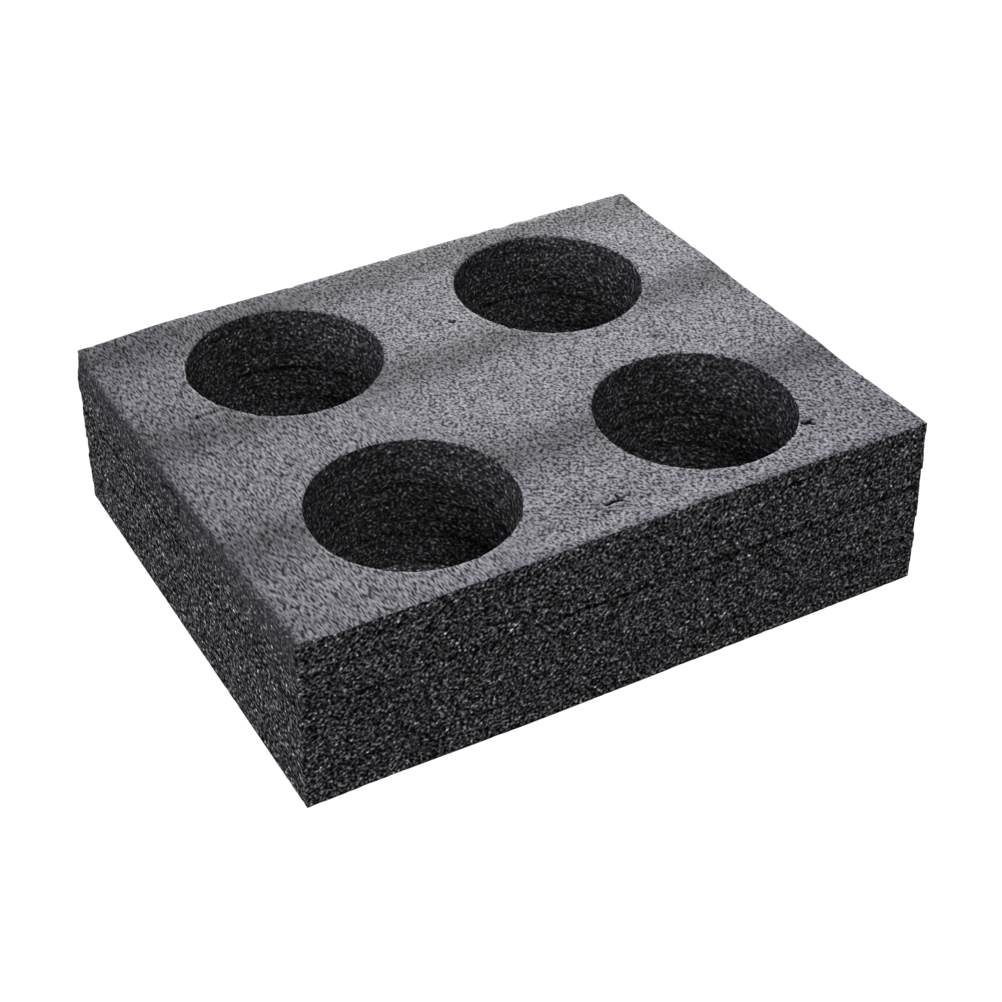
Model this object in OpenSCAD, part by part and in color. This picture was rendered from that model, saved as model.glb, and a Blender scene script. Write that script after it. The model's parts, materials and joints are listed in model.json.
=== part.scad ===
// Foam cup carrier tray: one block of foam sheets melted together, with four blind pockets for cups.
// Frame: millimetres, +Z up, the origin at the middle of the underside, +X along the long side.
// -Y is the long side that the front view shows, and -X is the end with the soft upper edge.

/* [Cup pockets] */
// Diameter of a pocket
pocket_d = 75; // [55:0.5:95]
// Foam between two pockets, measured along the long side
web_x = 41; // [10:0.5:70]
// Foam between two pockets, measured along the short side
web_y = 29; // [10:0.5:60]
// Foam between a pocket and the short end of the block
end_wall = 29.5; // [8:0.5:60]
// Foam between a pocket and the long side of the block
side_wall = 11.5; // [8:0.5:50]

/* [Foam sheets] */
// Thickness of one sheet between two weld lines
sheet_t = 7.25; // [4:0.25:15]
// Thickness of the lowest sheet, whose face is melted to a skin
outer_sheet_t = 6; // [3:0.25:12]
// Sheets above the lowest one that the pockets leave uncut
base_sheets = 1; // [0:1:2]
// Height of the block, up to the crests of its skin
block_h = 70; // [50:0.5:110]

/* [Weld lines] */
// Width of the groove where two sheets meet on the cut sides
weld_w = 0.6; // [0.3:0.1:1.2]
// Depth of that groove
weld_depth = 0.5; // [0.2:0.1:1]
// Least height of foam between the highest weld line and the crests of the skin
weld_top_clear = 4; // [3:0.5:6]

/* [Skin] */
// Distance between two crests of the rolling skin
wave_l = 68; // [40:1:120]
// Height from a trough of the skin to a crest
wave_h = 2.2; // [0.2:0.1:2.4]
// Place along Y of the middle of a slope that faces the front
slope_y = 23; // [-60:1:60]
// How much steeper the slopes that face the front are, in degrees of the wave
wave_lean = 26; // [0:1:40]
// Width of one flat strip of the rolling skin
skin_step = 2.5; // [1.5:0.5:5]

/* [Edges] */
// Radius of the two upright corners at the front
front_corner_r = 1; // [0.5:0.5:7]
// Radius of the upright corner between the back and the -X end
left_back_r = 5; // [1:0.5:7]
// Radius of the upright corner between the back and the +X end
right_back_r = 3; // [1:0.5:7]
// Radius of the soft upper edge at the -X end
soft_edge_r = 4.5; // [1:0.5:6]

/* [Hidden] */
$fn = 96;
beyond = 1; // how far a cutter runs past the face that it opens
pitch_x = pocket_d + web_x;
pitch_y = pocket_d + web_y;
block_l = pitch_x + pocket_d + 2 * end_wall;
block_w = pitch_y + pocket_d + 2 * side_wall;
floor_z = outer_sheet_t + base_sheets * sheet_t;
weld_count = floor((block_h - weld_top_clear - outer_sheet_t) / sheet_t) + 1;
strips = ceil(block_w / skin_step);

// Angle of the rolling skin at a place along the short side, and its height there
function wave_angle(y) = 360 * (y - slope_y) / wave_l;
function skin_z(y) = block_h - wave_h * (1 - sin(wave_angle(y) + wave_lean * sin(wave_angle(y)))) / 2;

// What rounds off a square corner, drawn from the middle of the rounding towards +X and +Y
module corner_cut(r) {
    difference() {
        square(r + beyond);
        circle(r = r);
    }
}

// Outline of the block from above, drawn in by a given depth
module plan(depth) {
    l = block_l / 2 - depth;
    w = block_w / 2 - depth;
    difference() {
        square([2 * l, 2 * w], center = true);
        for (end = [0, 1]) mirror([end, 0, 0]) {
            mirror([0, 1, 0]) translate([l - front_corner_r, w - front_corner_r]) corner_cut(front_corner_r);
            r = end == 1 ? left_back_r : right_back_r;
            translate([l - r, w - r]) corner_cut(r);
        }
    }
}

// The block with its rolling upper face
module rolled_block() {
    intersection() {
        linear_extrude(block_h + beyond) plan(0);
        rotate([90, 0, 90])
            linear_extrude(block_l + 2 * beyond, center = true)
                polygon([
                    [-block_w / 2, 0],
                    for (i = [0:strips]) let (y = block_w * (i / strips - 1 / 2)) [y, skin_z(y)],
                    [block_w / 2, 0]
                ]);
    }
}

// What is melted away from the upper edge at the -X end
module soft_edge() {
    translate([soft_edge_r - block_l / 2, 0, block_h - soft_edge_r])
        rotate([90, 0, 0])
            linear_extrude(block_w + 2 * beyond, center = true)
                difference() {
                    translate([-soft_edge_r - beyond, 0]) square(soft_edge_r + beyond);
                    circle(r = soft_edge_r);
                }
}

// The groove that runs round the block at one weld line
module weld_groove() {
    linear_extrude(weld_w, center = true)
        difference() {
            square([block_l + 2 * beyond, block_w + 2 * beyond], center = true);
            plan(weld_depth);
        }
}

// A blind pocket with a flat floor, open at the top
module cup_pocket() {
    translate([0, 0, floor_z]) cylinder(d = pocket_d, h = block_h - floor_z + beyond);
}

module tray() {
    color([0.26, 0.26, 0.27])
        difference() {
            rolled_block();
            soft_edge();
            for (i = [0:weld_count - 1])
                translate([0, 0, outer_sheet_t + i * sheet_t]) weld_groove();
            for (x = [-1, 1], y = [-1, 1])
                translate([x * pitch_x / 2, y * pitch_y / 2]) cup_pocket();
        }
}

tray();
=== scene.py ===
import json
import math

import bmesh
import bpy
import numpy as np
from mathutils import Matrix, Vector, noise


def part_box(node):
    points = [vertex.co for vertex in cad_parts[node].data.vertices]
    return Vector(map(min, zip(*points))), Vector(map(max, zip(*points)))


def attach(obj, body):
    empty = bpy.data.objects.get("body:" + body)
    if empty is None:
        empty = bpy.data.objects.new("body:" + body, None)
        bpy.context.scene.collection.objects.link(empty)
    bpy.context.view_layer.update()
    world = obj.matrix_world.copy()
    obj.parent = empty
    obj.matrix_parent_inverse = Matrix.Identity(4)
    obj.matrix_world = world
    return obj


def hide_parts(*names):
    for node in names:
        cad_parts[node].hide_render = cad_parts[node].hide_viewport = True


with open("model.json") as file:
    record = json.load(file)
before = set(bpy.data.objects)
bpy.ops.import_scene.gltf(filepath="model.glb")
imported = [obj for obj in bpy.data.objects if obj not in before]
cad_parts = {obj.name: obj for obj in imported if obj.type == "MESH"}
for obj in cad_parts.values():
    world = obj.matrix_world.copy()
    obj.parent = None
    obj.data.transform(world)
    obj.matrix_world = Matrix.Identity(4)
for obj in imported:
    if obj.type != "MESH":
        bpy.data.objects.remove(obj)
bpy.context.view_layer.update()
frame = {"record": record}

# Metres in the frame: +Z up, the origin at the middle of the underside, +X along the long side.
MM = 0.001
# A distance that counts as none
HAIR = 0.01 * MM

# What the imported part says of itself
LOW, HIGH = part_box("tray")
PATTERN = next(m for m in frame["record"]["mounts"] if m["name"] == "cup_pockets")
POCKET_R = PATTERN["dims"]["hole_r_mm"] * MM
POCKET_X = PATTERN["dims"]["spacing_x_mm"] * MM / 2
POCKET_Y = PATTERN["dims"]["spacing_y_mm"] * MM / 2
POCKETS = [(x, y) for y in (-POCKET_Y, POCKET_Y) for x in (-POCKET_X, POCKET_X)]

# The sheets of foam that are melted together, and how plainly each weld line between them shows on the cut
# faces, from the lowest one up
SHEET = 7.25 * MM
FIRST_WELD = 6.0 * MM
WELD_SHOWS = (0.3, 0.7, 0.35, 0.3, 0.55, 1.0, 0.25, 0.5, 0.5)
TOP_WELD = len(WELD_SHOWS) - 1
LAST_WELD = FIRST_WELD + TOP_WELD * SHEET
POCKET_FLOOR = FIRST_WELD + SHEET
# How far a sheet stands out or back at most on the cut faces
SHEET_STEP = 0.22 * MM

# Radii of the rounded back corners and of the soft upper edge at the -X end
LEFT_BACK_R = 2.0 * MM
RIGHT_BACK_R = 3.0 * MM
SOFT_EDGE_R = 4.5 * MM

# The rolling skin on top: how far its crests are apart and how high they are, where the middle of a slope
# that faces the front is, and how much steeper such slopes are than the others
WAVE_LENGTH = 68 * MM
WAVE_HEIGHT = 0.7 * MM
WAVE_SLOPE_Y = 23 * MM
WAVE_LEAN = math.radians(26)

# Small damage on the skin, in millimetres: strokes from place to place, their half width, their depth and
# how dark they are, a darkness that is partly the cut foam they bare and partly painted shade in their
# hollows
SKIN_MARKS = [
    ([(-1.5, -85.6), (0.8, -85.2), (2.7, -85.1), (4.5, -85.8)], 0.85, 0.9, 1.0),
    ([(4.4, -84.6), (4.6, -82.4)], 0.7, 0.7, 0.9),
    ([(2.7, -89.2)], 0.8, 0.4, 0.7),
    ([(-5.4, -85.6)], 0.9, 0.5, 0.7),
    ([(-3.3, -89.5)], 0.8, 0.4, 0.8),
    ([(-8.0, -90.1)], 0.8, 0.4, 0.6),
    ([(4.4, -75.9)], 0.8, 0.4, 0.6),
    ([(7.6, -84.1)], 0.8, 0.5, 0.7),
    ([(11.2, -88.1)], 0.8, 0.4, 0.7),
    ([(10.0, 44.7), (10.7, 44.3)], 1.0, 0.8, 1.0),
    ([(72.6, -3.7), (74.4, -2.9)], 0.9, 0.5, 0.6),
    ([(73.3, 0.8)], 0.8, 0.4, 0.6),
    ([(87.5, -78.9), (88.9, -78.8), (89.6, -80.2)], 1.35, 1.5, 1.0),
    (
        [(-104.3, 32.3), (-101.8, 32.1), (-97.7, 32.5), (-95.2, 32.3), (-92.0, 31.8), (-91.0, 30.5)],
        0.9, 0.4, 0.45,
    ),
    ([(-102.0, 32.0)], 1.0, 0.5, 0.9),
]
# A crooked crease that a knife left in the left face, told in the same way by places along Y and heights;
# its darkness is painted shade in the crease
KNIFE_CREASE = (
    [(11.7, 61.4), (3.1, 64.3), (-2.7, 63.6), (-2.7, 60.0), (-0.6, 55.0), (2.1, 48.0), (3.3, 39.0)],
    1.5, 0.8, 0.6,
)

# Colours of the torn cells and of the melted skin, before their grain
CUT_COLOUR = (0.056, 0.054, 0.059)
SKIN_COLOUR = (0.115, 0.112, 0.132)
# Size and contrast of the torn cells, and how much longer along Y they are
CELL = 1.1 * MM
CELL_CONTRAST = 8.0
CELL_DRAWN = 1.4
# Tone of torn cells that are half melted away, against the colour of the cut faces
MELTED_TONE = 0.85
# Size and contrast of the grain of the skin, and how much wider along X and longer along Y it is, near the
# left end and elsewhere
GRAIN = 0.9 * MM
GRAIN_CONTRAST = 4.7
DRAWN_GRAIN = (0.7, 2.6)
PLAIN_GRAIN = (1.05, 1.4)
# Turn of the noises against the faces, because a face in a plane of their grid shows them unevenly
NOISE_TURN = (0.6, 0.5, 0.4)
# How much painted shade darkens the skin where it rolls towards the front
SLOPE_SHADE = 0.42

# How bright the surroundings are next to the lamps, and how far the lamps are and how large
AMBIENT = 0.02
LAMP_DISTANCE = 1.6
LAMP_SIZE = 0.7
# How white the floor looks, and the share of its look that keeps the shadow of the tray
FLOOR_WHITE = 1.06
SHADOW_SHARE = 0.06

# One row of the mesh: five rows make a sheet, so that a row lies on every weld line
ROW = SHEET / 5


def soft_step(low, high, value):
    """0 at low, 1 at high, and a soft ramp between them, whichever of the two is the larger."""
    t = np.clip((value - low) / (high - low), 0, 1)
    return t * t * (3 - 2 * t)


# Shape


def finished_object(name, bm):
    """The mesh object of a finished bmesh, at the origin."""
    mesh = bpy.data.meshes.new(name)
    bm.to_mesh(mesh)
    bm.free()
    piece = bpy.data.objects.new(name, mesh)
    bpy.context.scene.collection.objects.link(piece)
    return piece


def apply_modifiers(piece):
    """Puts what a piece's modifiers make into its mesh."""
    graph = bpy.context.evaluated_depsgraph_get()
    done = bpy.data.meshes.new_from_object(piece.evaluated_get(graph))
    piece.modifiers.clear()
    old, piece.data = piece.data, done
    bpy.data.meshes.remove(old)
    done.name = piece.name


def bevel(bm, edges, width):
    bmesh.ops.bevel(
        bm, geom=edges, offset=width, offset_type="OFFSET", segments=8, profile=0.5,
        affect="EDGES", material=-1, clamp_overlap=True,
    )


def back_corner(bm, side):
    """The upright edge at the back corner on one side."""
    def at_corner(place):
        return place.y > HIGH.y - HAIR and place.x * side > HIGH.x - HAIR

    return [edge for edge in bm.edges if all(at_corner(v.co) for v in edge.verts)]


def left_upper_edge(bm):
    def at_top(edge):
        return all(v.co.z > HIGH.z - HAIR for v in edge.verts)

    def middle_x(edge):
        return sum(v.co.x for v in edge.verts) / 2

    return [edge for edge in bm.edges if at_top(edge) and middle_x(edge) < LOW.x + HAIR]


def plank():
    """The cut block with its rounded corners and its soft edge, before the pockets."""
    bm = bmesh.new()
    size = HIGH - LOW
    bmesh.ops.create_cube(bm, size=1, matrix=Matrix.Diagonal((*size, 1)))
    bmesh.ops.translate(bm, verts=bm.verts, vec=(LOW + HIGH) / 2)
    bevel(bm, back_corner(bm, -1), LEFT_BACK_R)
    bevel(bm, back_corner(bm, 1), RIGHT_BACK_R)
    bevel(bm, left_upper_edge(bm), SOFT_EDGE_R)
    return finished_object("plank", bm)


def pocket_cutter():
    """Four round cutters that leave the pockets."""
    bm = bmesh.new()
    for x, y in POCKETS:
        bmesh.ops.create_cone(
            bm, cap_ends=True, segments=160, radius1=POCKET_R, radius2=POCKET_R, depth=HIGH.z,
            matrix=Matrix.Translation((x, y, POCKET_FLOOR - ROW / 2 + HIGH.z / 2)),
        )
    return finished_object("pocket_cutter", bm)


def cut_block():
    """The plank with its pockets, as a plain exact shape."""
    block = plank()
    cutter = pocket_cutter()
    cut = block.modifiers.new("pockets", "BOOLEAN")
    cut.operation = "DIFFERENCE"
    cut.solver = "EXACT"
    cut.object = cutter
    apply_modifiers(block)
    bpy.data.objects.remove(cutter)
    return block


def even_mesh(block):
    """Gives the block an even mesh that keeps its edges sharp, with a row of points on every weld line."""
    depth = 8
    remesh = block.modifiers.new("even_mesh", "REMESH")
    remesh.mode = "SHARP"
    remesh.octree_depth = depth
    remesh.scale = (HIGH.x - LOW.x) / 2**depth / ROW
    remesh.use_remove_disconnected = False
    apply_modifiers(block)
    # The rows come out half a row too low for the weld lines
    points = points_of(block.data)
    first, last = FIRST_WELD - ROW / 2, LAST_WELD - ROW / 2
    points[:, 2] = np.interp(
        points[:, 2], [LOW.z, first, last, HIGH.z], [LOW.z, FIRST_WELD, LAST_WELD, HIGH.z]
    )
    move_points(block.data, points)
    return block


def coarse_underside(block):
    """Joins the small faces of the flat underside into squares, because nothing on it is small."""
    square = 8 * ROW
    margin = 3 * ROW
    bm = bmesh.new()
    bm.from_mesh(block.data)
    square_of = {}
    for face in bm.faces:
        middle = face.calc_center_median()
        inside = abs(middle.x) < HIGH.x - margin and abs(middle.y) < HIGH.y - margin
        if inside and middle.z < HAIR:
            square_of[face] = (math.floor(middle.x / square), math.floor(middle.y / square))
    inner = []
    for edge in bm.edges:
        squares = [square_of.get(face) for face in edge.link_faces]
        if None not in squares and squares[0] == squares[1]:
            inner.append(edge)
    bmesh.ops.dissolve_edges(bm, edges=inner, use_verts=True)
    bm.to_mesh(block.data)
    bm.free()


def fine_marks(block):
    """Gives the places of the small damage a mesh four times as fine."""
    reach = 1.6 * MM
    bm = bmesh.new()
    bm.from_mesh(block.data)
    middles = np.array([face.calc_center_median() for face in bm.faces])
    chosen = damage(middles, reach)[0] > 0
    faces = [face for face, near in zip(bm.faces, chosen) if near]
    edges = list({edge for face in faces for edge in face.edges})
    bmesh.ops.subdivide_edges(bm, edges=edges, cuts=3, use_grid_fill=True)
    bm.to_mesh(block.data)
    bm.free()


# Sculpting


def points_of(mesh):
    flat = np.zeros(len(mesh.vertices) * 3)
    mesh.vertices.foreach_get("co", flat)
    return flat.reshape(-1, 3)


def normals_of(mesh):
    flat = np.zeros(len(mesh.vertices) * 3)
    mesh.vertex_normals.foreach_get("vector", flat)
    return flat.reshape(-1, 3)


def move_points(mesh, points):
    mesh.vertices.foreach_set("co", points.ravel())
    mesh.update()


def lay_attributes(mesh, values_of):
    for name, values in values_of.items():
        layer = mesh.attributes.new(name, "FLOAT", "POINT")
        layer.data.foreach_set("value", values.astype(np.float32))


def rough(points, size, seed):
    """Smooth noise from about -1 to 1 at each point, with bumps of the given size."""
    shift = Vector((seed * 7.31, seed * 3.17, seed * 5.53))
    return np.array([noise.noise(Vector(p) / size + shift) for p in points])


def from_stroke(points, stroke):
    """How far each point of a plane lies from a crooked stroke of places in millimetres."""
    places = np.multiply(stroke, MM)
    nearest = np.linalg.norm(points - places[0], axis=1)
    for start, end in zip(places, places[1:]):
        along = end - start
        share = np.clip((points - start) @ along / (along @ along), 0, 1)
        nearest = np.minimum(nearest, np.linalg.norm(points - (start + share[:, None] * along), axis=1))
    return nearest


def damage(points, reach=0.0):
    """The depth of the marks on the skin and the left face at each point, and how much they darken it:
    partly the cut foam that the skin marks bare, and partly painted shade in their hollows. A reach makes
    the marks wider on every side."""
    depth = np.zeros(len(points))
    dark = np.zeros(len(points))

    def press(plane_points, mark, where):
        stroke, half_width, deep, strength = mark
        radius = half_width * MM
        strength = where * strength
        distance = from_stroke(plane_points, stroke)
        hollow = soft_step(radius * 1.25 + reach, 0.5 * radius, distance) * strength
        np.maximum(depth, hollow * deep * MM, out=depth)
        np.maximum(dark, np.minimum(hollow * 1.4, strength), out=dark)

    on_skin = points[:, 2] > HIGH.z - 3 * MM
    for mark in SKIN_MARKS:
        press(points[:, :2], mark, on_skin)
    on_left = points[:, 0] < LOW.x + 1.5 * MM
    fading = 1 - 0.5 * soft_step(60 * MM, 40 * MM, points[:, 2])
    press(points[:, 1:], KNIFE_CREASE, on_left * fading)
    return depth, dark


def from_pocket_walls(points):
    """How far each point lies from the wall of each pocket, measured level, and below 0 within it."""
    return np.array([np.hypot(points[:, 0] - x, points[:, 1] - y) - POCKET_R for x, y in POCKETS])


def cut_distance(points):
    """How far a point lies from the nearest upright cut face, measured level. The pockets don't reach the
    underside, so they don't count for it."""
    ends = np.minimum(HIGH.x - np.abs(points[:, 0]), HIGH.y - np.abs(points[:, 1]))
    walls = np.abs(from_pocket_walls(points)).min(axis=0)
    return np.where(points[:, 2] > FIRST_WELD, np.minimum(ends, walls), ends)


def in_pocket(points, past_wall=-0.1 * MM):
    """Whether each point is in a pocket, or not farther past its wall than a given distance."""
    return (from_pocket_walls(points).min(axis=0) < past_wall) & (points[:, 2] > FIRST_WELD)


def drawn_in(distance):
    """Distances from an edge, with the small ones made smaller."""
    return distance * (0.45 + 0.55 * soft_step(0, 4 * MM, distance))


def draw_to_edges(points):
    """Draws the points of the skin near its edges closer to them, so that the edges look crisp."""
    on_skin = points[:, 2] > HIGH.z - HAIR
    flat = points[on_skin]
    for x, y in POCKETS:
        away = flat[:, :2] - (x, y)
        far = np.hypot(*away.T)
        flat[:, :2] = (x, y) + away * ((POCKET_R + drawn_in(far - POCKET_R)) / far)[:, None]
    for axis, end in ((0, HIGH.x), (1, HIGH.y)):
        flat[:, axis] = np.sign(flat[:, axis]) * (end - drawn_in(end - np.abs(flat[:, axis])))
    points[on_skin] = flat


def wave_angle(points):
    return 2 * math.pi * (points[:, 1] - WAVE_SLOPE_Y - 0.02 * points[:, 0]) / WAVE_LENGTH


def skin_roll(points):
    """The height of the rolling skin against its crests: short slopes face the front, long ones the back.
    Along the front edge it curls up a little, and it sags towards the back corner at the left end."""
    x, y = points[:, 0], points[:, 1]
    angle = wave_angle(points)
    curl = 0.5 * MM * soft_step(LOW.y + 11 * MM, LOW.y, y)
    curl *= soft_step(-90 * MM, 0, x) * soft_step(115 * MM, 70 * MM, x)
    sag = 1.8 * MM * soft_step(LOW.x + 42 * MM, LOW.x, x) * soft_step(55 * MM, HIGH.y, y)
    sag += 0.9 * MM * (0.6 - soft_step(-40 * MM, 40 * MM, x)) * soft_step(20 * MM, 80 * MM, y)
    return curl - sag - WAVE_HEIGHT * (1 - np.sin(angle + WAVE_LEAN * np.sin(angle))) / 2


def faces_front(points):
    """How much the rolling skin faces the front: 1 on its short slopes, and below 0 on the long ones."""
    angle = wave_angle(points)
    return np.cos(angle + WAVE_LEAN * np.sin(angle)) * (1 + WAVE_LEAN * np.cos(angle)) / (1 + WAVE_LEAN)


def out_of_square(points):
    """Leans the cut faces by a millimetre: the front and the right one stand out at the bottom, towards
    their common corner, and the back corner at the left end is drawn in at the top."""
    x, y, z = points.T.copy()
    lean = 1 - z / HIGH.z
    to_front = soft_step(20 * MM, LOW.y, y)
    to_right = soft_step(-100 * MM, -30 * MM, x)
    points[:, 0] += 1.5 * MM * (lean - 0.3) * soft_step(0, HIGH.x, x) * to_front
    points[:, 1] -= 1.1 * MM * lean * to_right * to_front
    back_left = soft_step(LOW.x + 20 * MM, LOW.x, x) * soft_step(70 * MM, HIGH.y, y)
    points[:, 0] += 1.6 * MM * soft_step(56 * MM, HIGH.z, z) * back_left


def from_skin_edge(points):
    """How far inside the skin each point is, and below 0 how far inside the cut faces. At the left end
    the skin is melted back by up to three millimetres."""
    distance = cut_distance(points) - np.minimum(HIGH.z - points[:, 2], points[:, 2])
    distance[in_pocket(points) & (points[:, 2] < HIGH.z - SHEET)] = -POCKET_FLOOR
    at_left_end = soft_step(LOW.x + 14 * MM, LOW.x, points[:, 0]) * (points[:, 2] > HIGH.z / 2)
    distance -= at_left_end * MM * (0.5 + 2.5 * soft_step(-30 * MM, -95 * MM, points[:, 1]))
    return distance


def left_upper_part(points):
    """1 along the upper edge at the left end, where the skin is ragged, and 0 elsewhere."""
    to_left = soft_step(LOW.x + 12 * MM, LOW.x + 3 * MM, points[:, 0])
    to_top = soft_step(48 * MM, 63 * MM, points[:, 2])
    return to_left * to_top * (points[:, 1] > LOW.y + 0.5 * MM)


def sculpt(tray):
    """Gives the even block its rolling skin, weld lines, torn cells and knocks."""
    mesh = tray.data
    points = points_of(mesh)
    normals = normals_of(mesh)
    level = (points[:, 2] - FIRST_WELD) / SHEET
    nearest_weld = np.clip(np.round(level), 0, TOP_WELD).astype(int)
    up = soft_step(0.5, 0.9, normals[:, 2]) * (points[:, 2] > HIGH.z - SOFT_EDGE_R)
    cut = 1 - soft_step(0.3, 0.8, np.abs(normals[:, 2]))
    inside = in_pocket(points, 0.3 * MM) & (points[:, 2] < HIGH.z - HAIR)
    depth, dark = damage(points)
    skin_edge = from_skin_edge(points)
    weld_shows = np.array(WELD_SHOWS)[nearest_weld] * cut
    attributes = {
        "skin_edge": skin_edge / MM, "level": level, "weld_shows": weld_shows,
        "ragged": left_upper_part(points), "dark": dark, "inside": inside,
        "faces_front": faces_front(points),
    }
    draw_to_edges(points)

    # Rows draw together at the weld lines, and the lines wander a little
    near_weld = soft_step(0, FIRST_WELD, points[:, 2]) * soft_step(0, FIRST_WELD, HIGH.z - points[:, 2])
    points[:, 2] -= near_weld * 0.45 * MM * np.sin(2 * math.pi * level) * ~in_pocket(points)
    wander = rough(points * (1, 1, 3), 28 * MM, 3) * 0.4 * MM
    points[:, 2] += near_weld * wander * cut

    # The cut faces are torn and not quite flat, the sheets stand out unevenly, and the welds are sunk
    part = np.abs(level - np.round(level)) * 2
    in_welds = (level > -0.2) & (level < TOP_WELD + 0.2)
    sunk = np.where(in_welds, 1 - soft_step(0.0, 0.25, part), 0) * weld_shows
    fine = rough(points, 1.3 * MM, 5) * (1 - 0.3 * inside)
    lumps = rough(points, 5 * MM, 6)
    broad = rough(points, 45 * MM, 7)
    steps = np.sin(2.3 * np.floor(level))
    out = cut * (SHEET_STEP * steps + MM * (0.2 * fine + 0.10 * lumps + 0.35 * broad - 0.12 * sunk))

    # The skin rolls along the short side, and its cut edges are a little chipped
    roll = skin_roll(points) * soft_step(LAST_WELD, HIGH.z, points[:, 2])
    grain = up * (0.06 * MM * lumps + 0.10 * MM * rough(points, 22 * MM, 8))
    on_edge = 1 - soft_step(0.1 * MM, 0.9 * MM, np.abs(skin_edge))
    chips = 0.15 + 0.45 * soft_step(0.15, 0.6, rough(points, 3.5 * MM, 9))
    chips *= 0.3 + 0.7 * (points[:, 2] > HIGH.z / 2)

    points += normals * (out + grain - depth - on_edge * chips * MM)[:, None]
    points[:, 2] += roll
    points[:, 2] = np.maximum(points[:, 2], 0)
    out_of_square(points)
    move_points(mesh, points)
    lay_attributes(mesh, attributes)


# Materials


def node(tree, kind, inputs=None, **settings):
    """A node of a tree, whose inputs are values or the sockets that feed them."""
    made = tree.nodes.new("ShaderNode" + kind)
    for name, value in settings.items():
        setattr(made, name, value)
    for name, value in (inputs or {}).items():
        if isinstance(value, bpy.types.NodeSocket):
            tree.links.new(value, made.inputs[name])
        else:
            made.inputs[name].default_value = value
    return made


def calc(tree, operation, a, b=0.0, c=0.0):
    """The result of a Math node."""
    return node(tree, "Math", {0: a, 1: b, 2: c}, operation=operation).outputs[0]


def product(tree, *factors):
    """The product of values and sockets."""
    result = factors[0]
    for factor in factors[1:]:
        result = calc(tree, "MULTIPLY", result, factor)
    return result


def line(tree, value, slope, start):
    """A value times a slope, plus a start."""
    return calc(tree, "MULTIPLY_ADD", value, slope, start)


def ramp(tree, value, low, high, to_low=0.0, to_high=1.0):
    """A value softly mapped from one range to another, and held at its ends."""
    made = node(
        tree, "MapRange",
        {"Value": value, "From Min": low, "From Max": high, "To Min": to_low, "To Max": to_high},
        interpolation_type="SMOOTHSTEP",
    )
    return made.outputs["Result"]


def mix(tree, share, a, b):
    """A value that goes from a to b as the share goes from 0 to 1."""
    return node(tree, "Mix", {0: share, 2: a, 3: b}, data_type="FLOAT").outputs[0]


def mix_colours(tree, share, a, b):
    return node(tree, "Mix", {0: share, 6: a, 7: b}, data_type="RGBA").outputs[2]


def tint(tree, colour, shade):
    """A colour made lighter or darker by a shade."""
    return node(tree, "VectorMath", {0: colour, "Scale": shade}, operation="SCALE").outputs[0]


def attribute(tree, name):
    return node(tree, "Attribute", attribute_name=name).outputs["Fac"]


def mapped(tree, place, scale, rotation=(0, 0, 0)):
    return node(tree, "Mapping", {"Vector": place, "Scale": scale, "Rotation": rotation}).outputs["Vector"]


def fog(tree, place, scale, **inputs):
    """A soft noise from 0 to 1."""
    return node(tree, "TexNoise", {"Vector": place, "Scale": scale, **inputs}).outputs["Fac"]


def scattered(tree, place, scale):
    """Scattered cells: the distance from the middle of each one, and a random value for each."""
    cells = node(tree, "TexVoronoi", {"Vector": place, "Scale": scale}, feature="F1").outputs
    luck = node(tree, "SeparateColor", {"Color": cells["Color"]}).outputs["Red"]
    return cells["Distance"], luck


def group(name, inputs, outputs):
    """An empty node group with its named inputs and outputs, and its two end nodes."""
    tree = bpy.data.node_groups.new(name, "ShaderNodeTree")
    for label, kind, value in inputs:
        socket = tree.interface.new_socket(label, in_out="INPUT", socket_type="NodeSocket" + kind)
        if value is not None:
            socket.default_value = value
    for label, kind in outputs:
        tree.interface.new_socket(label, in_out="OUTPUT", socket_type="NodeSocket" + kind)
    return tree, tree.nodes.new("NodeGroupInput").outputs, tree.nodes.new("NodeGroupOutput").inputs


def torn_cells():
    """The foam's cells where a blade opened them: a random speckle, with painted shade in the dark hollows
    and painted glints on the torn bits.
    """
    tree, given, result = group(
        "torn_cells",
        [("Place", "Vector", None), ("Cell", "Float", CELL), ("Contrast", "Float", CELL_CONTRAST)],
        [("Shade", "Float"), ("Height", "Float")],
    )
    scale = calc(tree, "DIVIDE", 1.0, given["Cell"])
    clumps = fog(tree, given["Place"], scale, Detail=0.6, Roughness=0.5)
    from_middle, luck = scattered(tree, given["Place"], product(tree, scale, 1.2))
    bit = ramp(tree, from_middle, 0.1, 0.7, 1.0, 0.0)
    # Painted glints: the middles of a few cells are made much paler than the rest
    torn = line(tree, product(tree, bit, calc(tree, "POWER", luck, 3.0)), 2.2, 0.55)
    uneven = calc(tree, "EXPONENT", product(tree, calc(tree, "SUBTRACT", clumps, 0.5), given["Contrast"]))
    shade = calc(tree, "MAXIMUM", line(tree, product(tree, uneven, torn), 1.1, -0.12), 0.05)
    tree.links.new(shade, result["Shade"])
    tree.links.new(product(tree, clumps, 1.5), result["Height"])
    return tree


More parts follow.
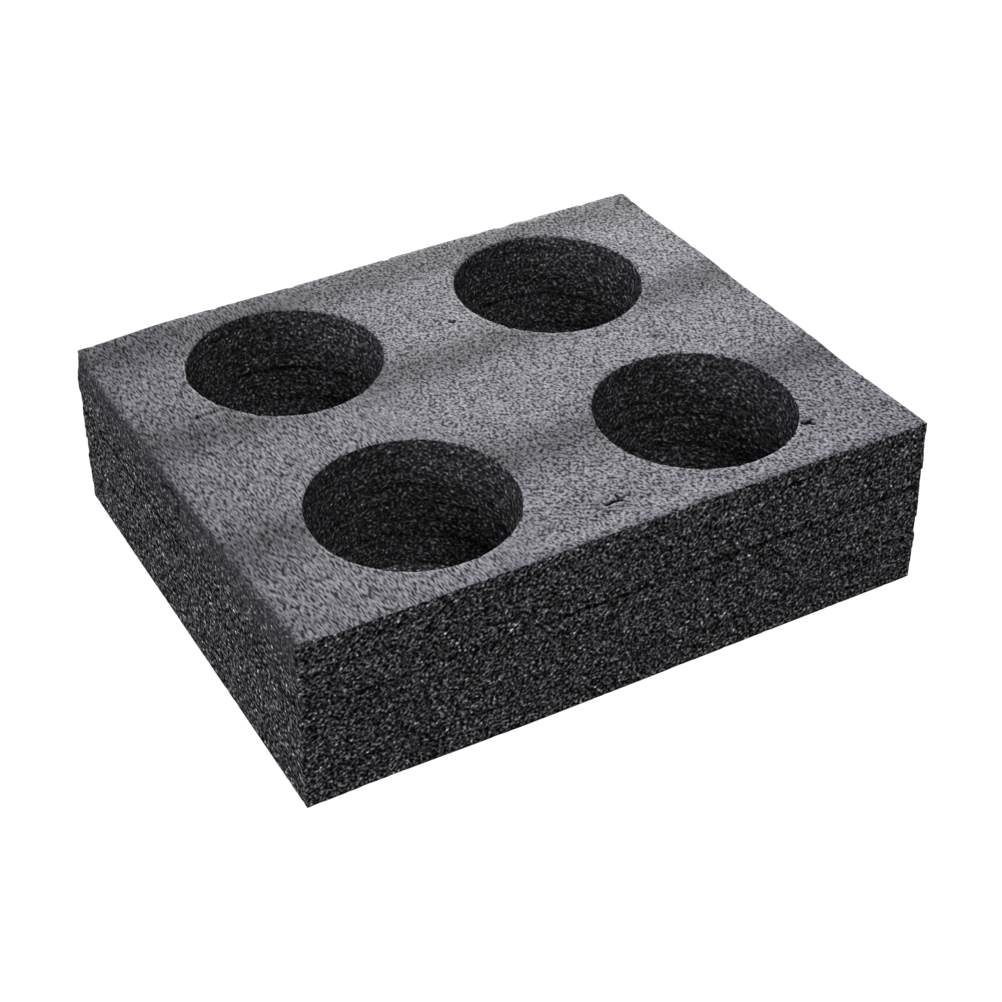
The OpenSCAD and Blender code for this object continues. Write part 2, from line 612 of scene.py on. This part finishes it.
def melted_skin():
    """The melted skin: a fine leathery grain, drawn out near the left end, with dark pores and blotches."""
    tree, given, result = group(
        "melted_skin",
        [
            ("Place", "Vector", None), ("Grain", "Float", GRAIN), ("Drawn", "Float", 0.0),
            ("Contrast", "Float", GRAIN_CONTRAST),
        ],
        [("Shade", "Float"), ("Height", "Float")],
    )
    scale = calc(tree, "DIVIDE", 1.0, given["Grain"])
    grains = []
    for wide, long in (PLAIN_GRAIN, DRAWN_GRAIN):
        place = mapped(tree, given["Place"], (1 / wide, 1 / long, 1), NOISE_TURN)
        grains.append(fog(tree, place, scale, Detail=0.3, Roughness=0.5, Distortion=0.2))
    grain = mix(tree, given["Drawn"], *grains)
    from_middle, luck = scattered(tree, given["Place"], product(tree, scale, 0.3))
    pores = ramp(tree, calc(tree, "SUBTRACT", from_middle, line(tree, luck, 0.34, -0.16)), -0.05, 0.08)
    blotches = fog(tree, given["Place"], product(tree, scale, 0.08), Detail=3.0)
    uneven = line(tree, calc(tree, "SUBTRACT", grain, 0.5), given["Contrast"], 1.0)
    shade = product(
        tree, calc(tree, "MAXIMUM", uneven, 0.1), line(tree, pores, 0.3, 0.7),
        ramp(tree, blotches, 0.25, 0.75, 0.9, 1.1),
    )
    tree.links.new(shade, result["Shade"])
    tree.links.new(product(tree, grain, pores), result["Height"])
    return tree


def weld_darkness(tree, place):
    """How much the weld lines darken the cut faces: softly, and more at some places than at others."""
    level = attribute(tree, "level")
    offset = calc(tree, "SUBTRACT", level, calc(tree, "ROUND", level))
    from_weld_mm = product(tree, calc(tree, "ABSOLUTE", offset), SHEET / MM)
    broken = fog(tree, mapped(tree, place, (1, 1, 4)), 1 / (18 * MM))
    return product(
        tree, ramp(tree, from_weld_mm, 0.4, 2.0, 0.75, 0.0), attribute(tree, "weld_shows"),
        ramp(tree, broken, 0.35, 0.6, 0.5, 1.0),
    )


def skin_tone_and_painted_light(tree, along, across, edge):
    """How pale the melted skin is from place to place: darker at the left end, with painted shade along the
    back and where it rolls towards the front, painted light at the right end and along the front, and a
    painted highlight along its own edge."""
    # Painted shade where the skin rolls towards the front, with less of it along the back
    flatter_at_back = ramp(tree, across, 50 * MM, 75 * MM, 1.0, 0.78)
    slope = product(tree, attribute(tree, "faces_front"), flatter_at_back)
    return product(
        tree,
        ramp(tree, along, -130 * MM, -85 * MM, 0.83, 1.0),
        ramp(tree, across, 40 * MM, 100 * MM, 1.0, 0.85),
        ramp(tree, along, 20 * MM, 110 * MM, 1.0, 1.1),
        line(tree, slope, -SLOPE_SHADE, 1.0),
        ramp(tree, across, -100 * MM, -88 * MM, 1.1, 1.0),
        ramp(tree, edge, 0.5, 1.8, 1.25, 1.0),
    )


def foam_material():
    """Charcoal foam: torn cells on the cut faces, a paler melted skin on top and below, dark welds."""
    material = bpy.data.materials.new("charcoal_foam")
    material.use_nodes = True
    tree = material.node_tree
    tree.nodes.clear()
    place = node(tree, "TexCoord").outputs["Object"]
    along, across = node(tree, "SeparateXYZ", {"Vector": place}).outputs[:2]
    ragged = attribute(tree, "ragged")
    inside = attribute(tree, "inside")
    dark = attribute(tree, "dark")

    # The skin ends in a crisp line at the cut edges, and in a soft ragged one at the left end
    frayed = fog(tree, place, 1 / (1.3 * MM), Detail=2.0)
    fraying = product(tree, calc(tree, "SUBTRACT", frayed, 0.5), line(tree, ragged, 7.0, 1.4))
    edge = calc(tree, "ADD", attribute(tree, "skin_edge"), fraying)
    skin = ramp(tree, calc(tree, "DIVIDE", edge, line(tree, ragged, 2.6, 0.15)), -1.0, 1.0)

    cut_look = node(tree, "Group", node_tree=torn_cells())
    tree.links.new(mapped(tree, place, (1, 1 / CELL_DRAWN, 1), NOISE_TURN), cut_look.inputs["Place"])
    skin_look = node(tree, "Group", node_tree=melted_skin())
    tree.links.new(place, skin_look.inputs["Place"])
    tree.links.new(ramp(tree, along, -60 * MM, -20 * MM, 1.0, 0.0), skin_look.inputs["Drawn"])

    # The cells are half melted away along the upper edge at the left end, and look more even in the pockets
    cells = mix(tree, product(tree, ragged, 0.45), cut_look.outputs["Shade"], MELTED_TONE)
    cells = mix(tree, product(tree, inside, 0.25), cells, MELTED_TONE)
    cut_shade = product(tree, cells, calc(tree, "SUBTRACT", 1.0, weld_darkness(tree, place)))
    skin_shade = product(tree, skin_look.outputs["Shade"], skin_tone_and_painted_light(tree, along, across, edge))
    colour = mix_colours(tree, skin, tint(tree, CUT_COLOUR, cut_shade), tint(tree, SKIN_COLOUR, skin_shade))
    # The marks are darkened: the skin marks partly by the cut foam they bare, and all of them by painted
    # shade in their hollows
    colour = tint(tree, colour, line(tree, dark, -0.95, 1.0))
    # The skin shines, but hardly in its dark grain, and not in its marks
    shine = ramp(tree, skin_look.outputs["Shade"], 0.0, 1.4, 0.12, 0.45)
    gloss = product(tree, skin, shine, calc(tree, "SUBTRACT", 1.0, dark))
    height = mix(tree, skin, cut_look.outputs["Height"], skin_look.outputs["Height"])
    height = product(tree, height, line(tree, inside, -0.3, 1.0))
    bump = node(tree, "Bump", {"Height": height, "Strength": 1.0, "Distance": 0.5 * MM}).outputs["Normal"]
    shader = node(
        tree, "BsdfPrincipled",
        {
            "Base Color": colour, "Roughness": line(tree, skin, -0.3, 0.9), "Normal": bump,
            "Specular IOR Level": 0.0, "Coat Weight": gloss, "Coat Roughness": 0.5, "Coat IOR": 1.5,
        },
    )
    node(tree, "OutputMaterial", {"Surface": shader.outputs[0]})
    return material


# Studio


def seen_directly(tree):
    """1 for what the camera, a reflection or glass sees, and 0 for what only gives light."""
    path = node(tree, "LightPath").outputs
    seen = calc(tree, "MAXIMUM", path["Is Camera Ray"], path["Is Glossy Ray"])
    return calc(tree, "MAXIMUM", seen, path["Is Transmission Ray"])


def studio_floor():
    """A pale floor that looks white and keeps the shadow of the tray. It lies a tenth of a millimetre below
    the tray, and lets the underside show where it is seen from below."""
    bm = bmesh.new()
    under = Matrix.Translation((0, 0, -0.1 * MM))
    bmesh.ops.create_grid(bm, x_segments=1, y_segments=1, size=6, matrix=under)
    floor = finished_object("floor", bm)
    material = bpy.data.materials.new("floor")
    material.use_nodes = True
    tree = material.node_tree
    tree.nodes.clear()
    plain = node(tree, "BsdfDiffuse", {"Color": (0.8, 0.8, 0.8, 1)})
    white = node(tree, "Emission", {"Color": (1, 1, 1, 1), "Strength": FLOOR_WHITE})
    share = product(tree, seen_directly(tree), 1.0 - SHADOW_SHARE)
    above = node(tree, "MixShader", {0: share, 1: plain.outputs[0], 2: white.outputs[0]})
    clear = node(tree, "BsdfTransparent")
    from_below = node(tree, "NewGeometry").outputs["Backfacing"]
    mixed = node(tree, "MixShader", {0: from_below, 1: above.outputs[0], 2: clear.outputs[0]})
    node(tree, "OutputMaterial", {"Surface": mixed.outputs[0]})
    floor.data.materials.append(material)


def studio_world():
    world = bpy.data.worlds.new("studio")
    bpy.context.scene.world = world
    world.use_nodes = True
    tree = world.node_tree
    tree.nodes.clear()
    strength = line(tree, seen_directly(tree), 1.0 - AMBIENT, AMBIENT)
    background = node(tree, "Background", {"Color": (1, 1, 1, 1), "Strength": strength})
    node(tree, "OutputWorld", {"Surface": background.outputs[0]})


def direction(azimuth, elevation):
    """The direction from the tray at two angles in degrees. Azimuth 0 is in front, and 90 to the right."""
    a, e = math.radians(azimuth), math.radians(elevation)
    return Vector((math.sin(a) * math.cos(e), -math.cos(a) * math.cos(e), math.sin(e)))


def soft_light(name, azimuth, elevation, power):
    """A square soft light that looks at the middle of the tray."""
    towards = direction(azimuth, elevation)
    lamp = bpy.data.lights.new(name, "AREA")
    lamp.shape = "SQUARE"
    lamp.size = LAMP_SIZE
    lamp.energy = power
    holder = bpy.data.objects.new(name, lamp)
    holder.location = Vector((0, 0, HIGH.z / 2)) + towards * LAMP_DISTANCE
    holder.rotation_euler = towards.to_track_quat("Z", "Y").to_euler()
    bpy.context.scene.collection.objects.link(holder)


def photo_camera():
    """The camera of the photograph: its direction, distance, small roll, lens and shift."""
    azimuth, elevation, roll = -27.896, 35.792, math.radians(-0.985)
    distance, aside, above = 746.7 * MM, 17.2 * MM, -5.27 * MM
    back = direction(azimuth, elevation)
    right = Vector((math.cos(math.radians(azimuth)), math.sin(math.radians(azimuth)), 0))
    up = back.cross(right)
    right, up = (
        right * math.cos(roll) + up * math.sin(roll),
        up * math.cos(roll) - right * math.sin(roll),
    )
    place = Vector((0, 0, HIGH.z / 2)) + back * distance - right * aside + up * above
    lens = bpy.data.cameras.new("camera")
    lens.sensor_width = 36
    lens.lens = 70.37
    lens.shift_x, lens.shift_y = 0.0603, -0.0272
    camera = bpy.data.objects.new("camera", lens)
    turn = Matrix((right, up, back)).transposed()
    camera.matrix_world = Matrix.Translation(place) @ turn.to_4x4()
    bpy.context.scene.collection.objects.link(camera)
    bpy.context.scene.camera = camera


tray = even_mesh(cut_block())
tray.name = tray.data.name = "foam_tray"
coarse_underside(tray)
fine_marks(tray)
sculpt(tray)
tray.data.materials.clear()
tray.data.materials.append(foam_material())
tray.data.shade_smooth()
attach(tray, "root")
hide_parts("tray")

photo_camera()
studio_floor()
studio_world()
soft_light("back_light", 150, 18, 23.5)
soft_light("left_light", -90, 18, 17.2)
soft_light("high_light", 0, 60, 16.3)
bpy.context.scene.view_settings.view_transform = "Standard"
